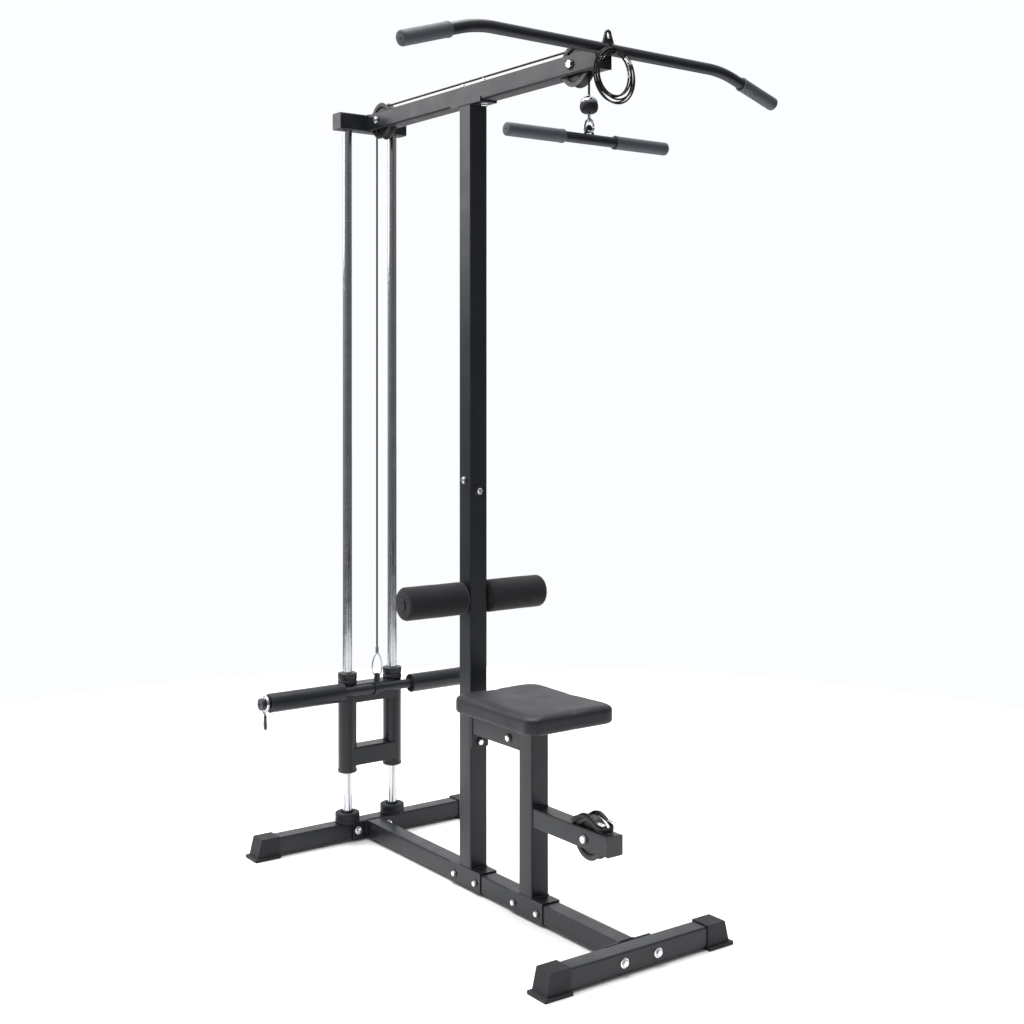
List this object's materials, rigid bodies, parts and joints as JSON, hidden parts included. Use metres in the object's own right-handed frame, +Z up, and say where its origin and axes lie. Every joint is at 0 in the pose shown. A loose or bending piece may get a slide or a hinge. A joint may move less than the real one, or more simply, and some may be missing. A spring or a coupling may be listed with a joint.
{
  "type": "lat pulldown machine",
  "caption": "Plate-loaded lat pulldown tower with a weight carriage on chrome guide rods, a cable over top pulleys, a low pulley, padded seat and knee rollers.",
  "frame": {"origin": "on the floor, at the middle of the footprint", "axes": "+X across the machine to the user's left as they sit facing the upright, +Y to the rear where the weights are, +Z up"},
  "size_m": [1.1185, 1.172, 2.009],
  "materials": {
    "powder_coat": "satin black powder coat on steel tube",
    "chrome": "polished chrome plate",
    "zinc_bolts": "bright zinc-plated bolts and nuts",
    "foot_rubber": "matt black moulded rubber",
    "grip_rubber": "dark grey moulded rubber grip",
    "black_plastic": "fine-grained black plastic",
    "pulley_plastic": "glossy black nylon",
    "cable_sheath": "black plastic sheath over steel wire rope",
    "foam": "black closed-cell foam, fine pores",
    "seat_vinyl": "black grained vinyl",
    "plywood": "bare plywood"
  },
  "bodies": {
    "frame": {"front_stabilizer": "powder_coat", "front_foot_left": "foot_rubber", "front_foot_right": "foot_rubber", "rear_stabilizer": "powder_coat", "rear_foot_left": "foot_rubber", "rear_foot_right": "foot_rubber", "base_tube": "powder_coat", "lower_upright": "powder_coat", "upper_upright": "powder_coat", "upright_sleeve": "powder_coat", "seat_post": "powder_coat", "seat_beam": "powder_coat", "seat_pad": "seat_vinyl", "seat_board": "plywood", "top_beam": "powder_coat", "rear_crossbar": "powder_coat", "top_beam_cap": "black_plastic", "low_pulley_arm": "powder_coat", "low_cable_coil": "cable_sheath", "guide_rod_left": "chrome", "guide_rod_right": "chrome", "bumper_left": "foot_rubber", "bumper_right": "foot_rubber", "roller_tube": "powder_coat", "rear_axle": "zinc_bolts", "front_axle": "zinc_bolts", "low_axle": "zinc_bolts", "cable_top_run": "cable_sheath", "cable_rear_drop": "cable_sheath", "cable_front_drop": "cable_sheath"},
    "carriage": {"slide_tube_left": "powder_coat", "slide_tube_right": "powder_coat", "slide_bush_left": "black_plastic", "slide_bush_right": "black_plastic", "weight_sleeve_left": "powder_coat", "weight_sleeve_right": "powder_coat", "carriage_cross_upper": "powder_coat", "carriage_cross_lower": "powder_coat", "weight_bar": "powder_coat", "cable_eye": "powder_coat", "cable_shackle": "chrome"},
    "left_collar": {"collar_left": "chrome"},
    "right_collar": {"collar_right": "chrome"},
    "rear_pulley_wheel": {"rear_pulley": "pulley_plastic"},
    "front_pulley_wheel": {"front_pulley": "pulley_plastic"},
    "low_pulley_wheel": {"low_pulley": "pulley_plastic"},
    "left_roller": {"foam_roller_left": "foam"},
    "right_roller": {"foam_roller_right": "foam"},
    "cable_hook": {"stop_ball": "foot_rubber", "stop_cap": "chrome"},
    "swivel": {"swivel_eye": "chrome", "carabiner": "chrome"},
    "gate": {"carabiner_gate": "chrome"},
    "row_handle": {"row_bar": "powder_coat", "row_grip_left": "grip_rubber", "row_grip_right": "grip_rubber"},
    "lat_handle": {"lat_bar": "powder_coat", "lat_grip_left": "grip_rubber", "lat_grip_right": "grip_rubber", "extension_coil": "cable_sheath"}
  },
  "joints": [
    {"name": "carriage_slide", "type": "slide", "parent": "frame", "child": "carriage", "axis": [0, 0, 1], "range_m": [0, 1.1], "deforming": ["cable_rear_drop"]},
    {"name": "hook_slide", "type": "slide", "parent": "frame", "child": "cable_hook", "axis": [0, 0, -1], "range_m": [0, 1.1], "deforming": ["cable_front_drop"]},
    {"name": "rear_pulley_spin", "type": "hinge", "parent": "frame", "child": "rear_pulley_wheel", "pos_m": [0, 0.47195, 1.9495], "axis": [1, 0, 0], "range_deg": [-10, 1700]},
    {"name": "front_pulley_spin", "type": "hinge", "parent": "frame", "child": "front_pulley_wheel", "pos_m": [0, -0.36425, 1.9495], "axis": [1, 0, 0], "range_deg": [-10, 1700]},
    {"name": "low_pulley_spin", "type": "hinge", "parent": "frame", "child": "low_pulley_wheel", "pos_m": [0, -0.41325, 0.2415], "axis": [1, 0, 0], "continuous": true},
    {"name": "left_roller_spin", "type": "hinge", "parent": "frame", "child": "left_roller", "pos_m": [-0.118, 0.04875, 0.715], "axis": [1, 0, 0], "continuous": true},
    {"name": "right_roller_spin", "type": "hinge", "parent": "frame", "child": "right_roller", "pos_m": [0.118, 0.04875, 0.715], "axis": [1, 0, 0], "continuous": true},
    {"name": "left_collar_pull", "type": "slide", "parent": "carriage", "child": "left_collar", "axis": [-1, 0, 0], "range_m": [0, 0.05]},
    {"name": "right_collar_pull", "type": "slide", "parent": "carriage", "child": "right_collar", "axis": [1, 0, 0], "range_m": [0, 0.05]},
    {"name": "hook_swivel", "type": "hinge", "parent": "cable_hook", "child": "swivel", "pos_m": [0, -0.40225, 1.834], "axis": [0, 0, 1], "continuous": true},
    {"name": "gate_opening", "type": "hinge", "parent": "swivel", "child": "gate", "pos_m": [0.0059, -0.4108, 1.8057], "axis": [-0.8253, -0.5646, 0], "range_deg": [0, 18], "stiffness_Nm_per_rad": 0.05},
    {"name": "row_bar_tilt", "type": "hinge", "parent": "swivel", "child": "row_handle", "pos_m": [0, -0.40225, 1.7958], "axis": [0, 1, 0], "range_deg": [-12, 12]},
    {"name": "lat_bar_lift", "type": "slide", "parent": "frame", "child": "lat_handle", "axis": [0, 0, 1], "range_m": [0, 0.25]}
  ],
  "couplings": [
    {"joint": "hook_slide", "follows": "carriage_slide", "ratio": 1},
    {"joint": "rear_pulley_spin", "follows": "carriage_slide", "rad_per_m": 26.316},
    {"joint": "front_pulley_spin", "follows": "carriage_slide", "rad_per_m": 26.316}
  ]
}
